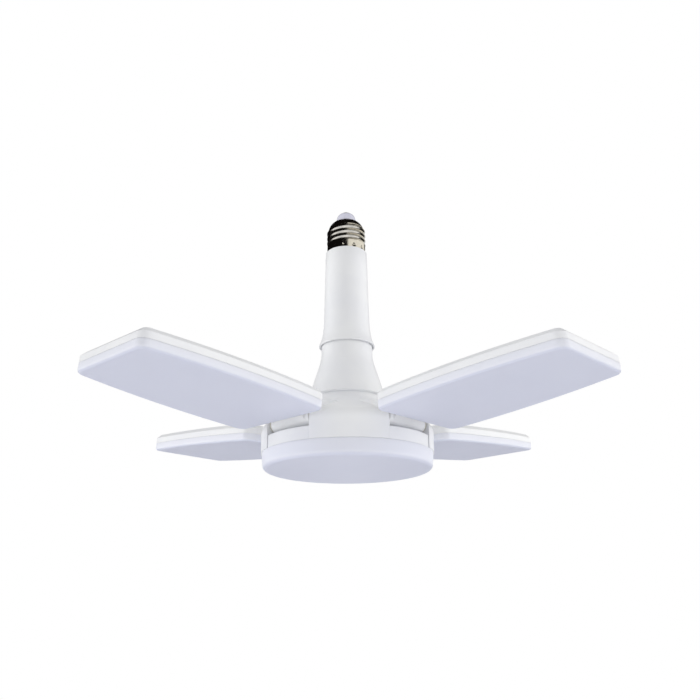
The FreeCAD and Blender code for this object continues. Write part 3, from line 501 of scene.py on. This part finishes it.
def tinned_contact(start):
    place = place_of(start)
    solder = clouds(place, 1.5 * MM, 4.0)
    scratch = clouds(place, 0.2 * MM, 2.0)
    rubbed = step(solder, 0.45, 0.65)
    return start.node("ShaderNodeBsdfPrincipled", None, {
        "Base Color": mix(rubbed, TIN, TIN_RUBBED),
        "Metallic": 1.0,
        "Roughness": 0.38 - 0.14 * rubbed + 0.1 * scratch,
        "Normal": relief(scratch, 0.015 * MM, soft_edges(start, 0.2 * MM), 0.6)})


NOSE_PROFILE = [(-0.8, 3.75), (-0.85, 4.2), (-1.1, 4.8), (-1.6, 5.35), (-2.4, 5.85),
                (-3.6, 6.3), (-5.2, 6.75), (-6.4, 7.05), (-7.4, 7.15), (-8.3, 8.3), (-9.6, 8.6),
                (-9.6, 3.75), (-1.4, 3.75)]
NOSE_COLUMNS = 96
domed_nose = turned("glazed_nose", in_mm(NOSE_PROFILE), NOSE_COLUMNS)
domed_nose.data.materials.append(finish("glazed_nose", glazed_nose))
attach(domed_nose, "root")
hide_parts("cap_insulator")
dress(finish("tinned_contact", tinned_contact), "centre_contact")

# %% [markdown]
# ## Inside the lamp
#
# Nobody sees the boards with the covers on, but the model comes apart, so each one is finished
# as well. The light boards are aluminium under a white mask, with faint copper areas showing
# through. Each lamp chip is a white case with yellow phosphor over its lower face.

# %% Light boards and chips
MASK_WHITE = chart(240, 240, 236)
MASK_OVER_COPPER = chart(228, 229, 222)
CHIP_CASE = chart(236, 236, 230)
PHOSPHOR = chart(236, 206, 96)


def masked_board(start):
    place = place_of(start)
    copper = start.node("ShaderNodeTexVoronoi", {"distance": "MANHATTAN"},
                        {"Vector": place, "Scale": 1 / (7 * MM), "Randomness": 0.35},
                        out="Distance")
    track = step(copper, 0.3, 0.36)
    ink = clouds(place, 0.6 * MM, 2.0)
    return start.node("ShaderNodeBsdfPrincipled", None, {
        "Base Color": mix(track, MASK_OVER_COPPER, MASK_WHITE),
        "Roughness": 0.42 + 0.16 * ink,
        "Normal": relief(track + 0.3 * ink, 0.03 * MM, soft_edges(start, 0.1 * MM), 0.6)})


def lamp_chip(start):
    place = place_of(start)
    facing = start.node("ShaderNodeTexCoord", out="Normal")
    down = start.node("ShaderNodeSeparateXYZ", None, {0: facing}, out="Z") * -1
    powder = clouds(place, 0.25 * MM, 3.0)
    lit_face = step(down, 0.9, 0.98) * (0.75 + 0.25 * powder)
    return start.node("ShaderNodeBsdfPrincipled", None, {
        "Base Color": mix(lit_face, CHIP_CASE, PHOSPHOR),
        "Roughness": 0.3 + 0.25 * powder,
        "Normal": relief(powder, 0.02 * MM, soft_edges(start, 0.15 * MM), 0.4)})


dress(finish("masked_board", masked_board), "centre_led_board", *each_panel("panel_led_board"))
dress(finish("lamp_chip", lamp_chip), "centre_leds", *each_panel("panel_leds"))

# %% [markdown]
# Pins and screws are bright steel. Turning leaves fine rings round a screw, and oil and
# fingerprints dull it in patches. The friction washers are nylon, cut from sheet.

# %% Steel and nylon
STEEL = chart(196, 198, 202)
STEEL_DULL = chart(150, 152, 158)
NYLON = chart(222, 219, 206)
# painted shade: the darker tone that corners and gaps of the washers are given
NYLON_CREVICE_SHADE = chart(204, 199, 182)


def turned_steel(start):
    place = place_of(start)
    rings = start.node("ShaderNodeTexWave", {"wave_type": "RINGS", "rings_direction": "Z"},
                       {"Vector": place, "Scale": 1 / (0.9 * MM), "Distortion": 0.6}, out="Fac")
    oil = clouds(place, 2.2 * MM, 4.0)
    return start.node("ShaderNodeBsdfPrincipled", None, {
        "Base Color": mix(step(oil, 0.35, 0.7), STEEL, STEEL_DULL),
        "Metallic": 1.0,
        "Roughness": 0.2 + 0.1 * rings + 0.16 * oil,
        "Normal": relief(rings, 0.006 * MM, soft_edges(start, 0.12 * MM), 0.5)})


def cut_nylon(start):
    place = place_of(start)
    sheet = clouds(place, 5 * MM, 2.0)
    fibre = clouds(place, 0.3 * MM, 3.0)
    # painted shade: the nylon darkens where it is occluded, in corners and gaps, in patches
    edge = crevices(start, 1.0 * MM)
    return start.node("ShaderNodeBsdfPrincipled", None, {
        "Base Color": mix(edge * sheet, NYLON, NYLON_CREVICE_SHADE),
        "Roughness": 0.5 + 0.15 * fibre,
        "Normal": relief(fibre, 0.015 * MM, soft_edges(start, 0.1 * MM), 0.5)})


dress(finish("turned_steel", turned_steel), "tray_screws", "hinge_pins",
      *each_panel("panel_screws"))
dress(finish("cut_nylon", cut_nylon), "friction_washers")

# %% [markdown]
# The driver sits in the sleeve on a green board. Its parts are black epoxy, sleeved
# capacitors and two wound parts, whose turns of wire show as fine ribs round the winding, with
# painted shade in the gaps between the turns.

# %% The driver's parts
BOARD_GREEN = chart(38, 92, 60)
BOARD_TRACK = chart(66, 124, 78)
EPOXY = chart(34, 34, 36)
EPOXY_SHEEN = chart(52, 52, 55)
COPPER_WIRE = chart(178, 104, 58)
# painted shade: the dark brown in the gaps between turns of wire
WIRE_GAP_SHADE = chart(98, 52, 30)


def green_board(start):
    place = place_of(start)
    weave = start.node("ShaderNodeTexVoronoi", {"distance": "CHEBYCHEV"},
                       {"Vector": place, "Scale": 1 / (3.2 * MM), "Randomness": 0.5},
                       out="Distance")
    track = 1 - step(weave, 0.18, 0.24)
    ink = clouds(place, 0.5 * MM, 3.0)
    return start.node("ShaderNodeBsdfPrincipled", None, {
        "Base Color": mix(track, BOARD_GREEN, BOARD_TRACK),
        "Roughness": 0.3 + 0.2 * ink,
        "Normal": relief(track + 0.2 * ink, 0.03 * MM, soft_edges(start, 0.1 * MM), 0.6)})


def black_epoxy(start):
    place = place_of(start)
    flow = clouds(place, 3 * MM, 3.0)
    pits = clouds(place, 0.25 * MM, 3.0)
    return start.node("ShaderNodeBsdfPrincipled", None, {
        "Base Color": mix(flow, EPOXY, EPOXY_SHEEN),
        "Roughness": 0.36 + 0.24 * pits,
        "Normal": relief(pits, 0.02 * MM, soft_edges(start, 0.2 * MM), 0.6)})


def wound_wire(start):
    place = place_of(start)
    turns = start.node("ShaderNodeTexWave", {"bands_direction": "Z"},
                       {"Vector": place, "Scale": 1 / (1.6 * MM), "Distortion": 0.25}, out="Fac")
    enamel = clouds(place, 1.2 * MM, 3.0)
    # painted shade in the gaps between the turns, copper on the turns
    return start.node("ShaderNodeBsdfPrincipled", None, {
        "Base Color": mix(step(turns, 0.15, 0.6), WIRE_GAP_SHADE, COPPER_WIRE),
        "Roughness": 0.26 + 0.18 * enamel,
        "Coat Weight": 0.4,
        "Normal": relief(turns, 0.12 * MM, soft_edges(start, 0.15 * MM), 0.8)})


dress(finish("green_board", green_board), "driver_board")
dress(finish("black_epoxy", black_epoxy), "driver_capacitor", "output_capacitor",
      "bridge_rectifier", "fuse_resistor")
dress(finish("wound_wire", wound_wire), "driver_transformer", "driver_choke")

# %% [markdown]
# ## The studio
#
# The lamp hangs in a white studio. The world is white for the camera and for reflections, and
# a plain level for everything else, so the plastic keeps its own colour. A pale floor lies well
# below, out of the picture, where it catches the lamp's shadow in the views from above.

# %% World and floor
WORLD_LIGHT = 0.72
FLOOR_DROP = 0.75
FLOOR_HALF = 4.0
FLOOR_PALE = chart(236, 236, 238)
FLOOR_MARK = chart(226, 226, 230)


def seen_directly(start):
    """1 for rays from the camera, and for those that a mirror or glass passes on."""
    path = start.node("ShaderNodeLightPath")
    rays = [Wire(start.tree, path.socket.node.outputs[name])
            for name in ("Is Camera Ray", "Is Glossy Ray", "Is Transmission Ray")]
    either = start.sum("MAXIMUM", rays[0], rays[1])
    return start.sum("MAXIMUM", either, rays[2])


def light_world():
    world = bpy.data.worlds.new("white_studio")
    world.use_nodes = True
    world.node_tree.nodes.clear()
    start = Wire(world.node_tree)
    strength = WORLD_LIGHT + (1 - WORLD_LIGHT) * seen_directly(start)
    sky = start.node("ShaderNodeBackground", None, {"Color": (1, 1, 1, 1), "Strength": strength})
    start.node("ShaderNodeOutputWorld", None, {"Surface": sky})
    bpy.context.scene.world = world


def pale_floor(start):
    place = place_of(start)
    patches = clouds(place, 0.4, 3.0)
    grit = clouds(place, 2 * MM, 2.0)
    paint = start.node("ShaderNodeBsdfPrincipled", None, {
        "Base Color": mix(patches, FLOOR_MARK, FLOOR_PALE),
        "Roughness": 0.6 + 0.2 * grit,
        "Normal": relief(grit, 0.05 * MM, start.node("ShaderNodeNewGeometry", out="Normal"))})
    glow = start.node("ShaderNodeEmission", None, {"Color": (1, 1, 1, 1), "Strength": 1.0})
    return start.node("ShaderNodeMixShader", None, {0: 0.6 * seen_directly(start),
                                                    1: paint, 2: glow})


def sheet_of(name, corners):
    """A flat sheet with those four corners."""
    data = bpy.data.meshes.new(name)
    data.from_pydata(corners, [], [(0, 1, 2, 3)])
    sheet = bpy.data.objects.new(name, data)
    bpy.context.scene.collection.objects.link(sheet)
    return sheet


light_world()
floor_level = cad_low.z - FLOOR_DROP
floor = sheet_of("floor", [(-FLOOR_HALF, -FLOOR_HALF, floor_level),
                           (FLOOR_HALF, -FLOOR_HALF, floor_level),
                           (FLOOR_HALF, FLOOR_HALF, floor_level),
                           (-FLOOR_HALF, FLOOR_HALF, floor_level)])
floor.data.materials.append(finish("pale_floor", pale_floor))
print("floor at", round(floor_level, 3), "m")

# %% [markdown]
# The camera looks slightly up at the lamp, from between two of its panels, and a little off
# the middle. Its place is worked out from the outline in the picture: distance, height under
# the lamp's foot, angle, and the length of the lens.

# %% Camera
PICTURE = 700                           # pixels across the picture
FOCAL_PIXELS = 803.0
CENTRE_PIXEL = 346.9                    # where the lens axis meets the picture
CAMERA_AWAY = 503.7 * MM
CAMERA_BELOW_FOOT = 98.9 * MM
HUB_FOOT = -170.5 * MM
CAMERA_ROUND = radians(-46.29)
CAMERA_UP = 0.3241                      # radians above the level
CAMERA_ROLL = -0.0062

camera_data = bpy.data.cameras.new("studio_camera")
camera_data.lens = FOCAL_PIXELS * camera_data.sensor_width / PICTURE
camera_data.shift_x = (PICTURE / 2 - CENTRE_PIXEL) / PICTURE
camera = bpy.data.objects.new("studio_camera", camera_data)
bpy.context.scene.collection.objects.link(camera)
camera_place = Vector((CAMERA_AWAY * sin(CAMERA_ROUND), -CAMERA_AWAY * cos(CAMERA_ROUND),
                       HUB_FOOT - CAMERA_BELOW_FOOT))
camera.matrix_world = (Matrix.Translation(camera_place)
                       @ Matrix.Rotation(CAMERA_ROUND, 4, "Z")
                       @ Matrix.Rotation(pi / 2 + CAMERA_UP, 4, "X")
                       @ Matrix.Rotation(CAMERA_ROLL, 4, "Z"))
bpy.context.scene.camera = camera
print("camera at", [round(value, 3) for value in camera_place], "lens", round(camera_data.lens, 2))

# %% [markdown]
# Soft boxes stand left and right, three lie low to light the covers from below, and a weak one
# fills the front. Each is placed by an angle from the camera, a distance and a height, and is
# turned to face the lamp. They light the lamp without being seen, also in the polished metal.

# %% Soft boxes
LAMP_MIDDLE = Vector((0, 0, -0.11))


def around(angle, away, height):
    """A point at that many degrees to the right of the camera, seen from the lamp."""
    turn = CAMERA_ROUND + radians(angle)
    return Vector((away * sin(turn), -away * cos(turn), height))


def soft_box(name, angle, away, height, width, tall, watts):
    data = bpy.data.lights.new(name, "AREA")
    data.shape = "RECTANGLE"
    data.size = width
    data.size_y = tall
    data.energy = watts
    box = bpy.data.objects.new(name, data)
    box.visible_camera = False
    box.visible_glossy = False
    bpy.context.scene.collection.objects.link(box)
    box.location = around(angle, away, height)
    box.rotation_euler = (LAMP_MIDDLE - box.location).to_track_quat("-Z", "Y").to_euler()


BOXES = [  # name, angle, distance, height, width, height of the box, watts
    ("left_box", -95, 1.4, 0.1, 1.2, 1.6, 8.5),
    ("right_box", 95, 1.4, 0.1, 1.2, 1.6, 7.5),
    ("low_left_box", -80, 0.75, -0.72, 0.9, 0.7, 1.7),
    ("low_right_box", 80, 0.75, -0.72, 0.9, 0.7, 1.7),
    ("low_back_box", 180, 0.85, -0.72, 1.1, 0.6, 0.3),
    ("front_box", 0, 1.3, -0.3, 0.9, 0.5, 1.6)]
for box_values in BOXES:
    soft_box(*box_values)
print("soft boxes:", len(BOXES), "watts in all:", round(sum(values[-1] for values in BOXES), 1))

# %% [markdown]
# ## Dark and bright cards for the metal
#
# A mirror shows the room. Photographers stand black and cream cards round polished metal to
# give it form: here a black card on the left, one overhead and one low on the right, and a
# cream one on the right. Only reflections see them, so they cast no shadow.

# %% Cards
CARD_BLACK = chart(14, 12, 12)
CARD_CREAM = chart(252, 248, 238)
CARD_STEPS = 24                         # flat strips in a bent card
CARD_CLOUDS = 0.3                       # metres across an uneven patch
CEILING_LEVEL = 0.45
CEILING_REACH = 2.5
CREAM_FOOT = -0.06


def plain_card(colour):
    def recipe(start):
        place = place_of(start)
        uneven = clouds(place, CARD_CLOUDS)
        return start.node("ShaderNodeEmission", None,
                          {"Color": mix(uneven * 0.15, colour, CARD_BLACK), "Strength": 1.0})
    return recipe


def curved_card(name, first, last, away, low, high, material):
    """An upright card bent round the lamp between two angles from the camera."""
    mesh = bmesh.new()
    pairs = []
    for i in range(CARD_STEPS + 1):
        angle = first + (last - first) * i / CARD_STEPS
        pairs.append((mesh.verts.new(around(angle, away, low)),
                      mesh.verts.new(around(angle, away, high))))
    for here, there in zip(pairs, pairs[1:]):
        mesh.faces.new((here[0], there[0], there[1], here[1]))
    return only_reflected(object_of(name, mesh), material)


def only_reflected(card, material):
    card.data.materials.append(material)
    card.visible_camera = False
    card.visible_diffuse = False
    card.visible_shadow = False
    card.visible_transmission = False
    return card


black_card = finish("black_card", plain_card(CARD_BLACK))
cream_card = finish("cream_card", plain_card(CARD_CREAM))
# name, first and last angle from the camera, distance, foot, head, material
curved_card("left_black_card", -178, 0, 1.2, -1.0, CEILING_LEVEL, black_card)
curved_card("right_cream_card", 10, 140, 0.7, CREAM_FOOT, CEILING_LEVEL - 0.02, cream_card)
curved_card("right_low_card", 0, 178, 1.2, -1.0, CREAM_FOOT, black_card)
ceiling = [tuple(around(angle, CEILING_REACH, CEILING_LEVEL)) for angle in (45, 135, 225, 315)]
only_reflected(sheet_of("overhead_black_card", ceiling), black_card)
print("cards from", CREAM_FOOT, "to", CEILING_LEVEL, "m")

# %% [markdown]
# ## Colours of the picture

# %% Colours of the picture
bpy.context.scene.view_settings.view_transform = "Standard"
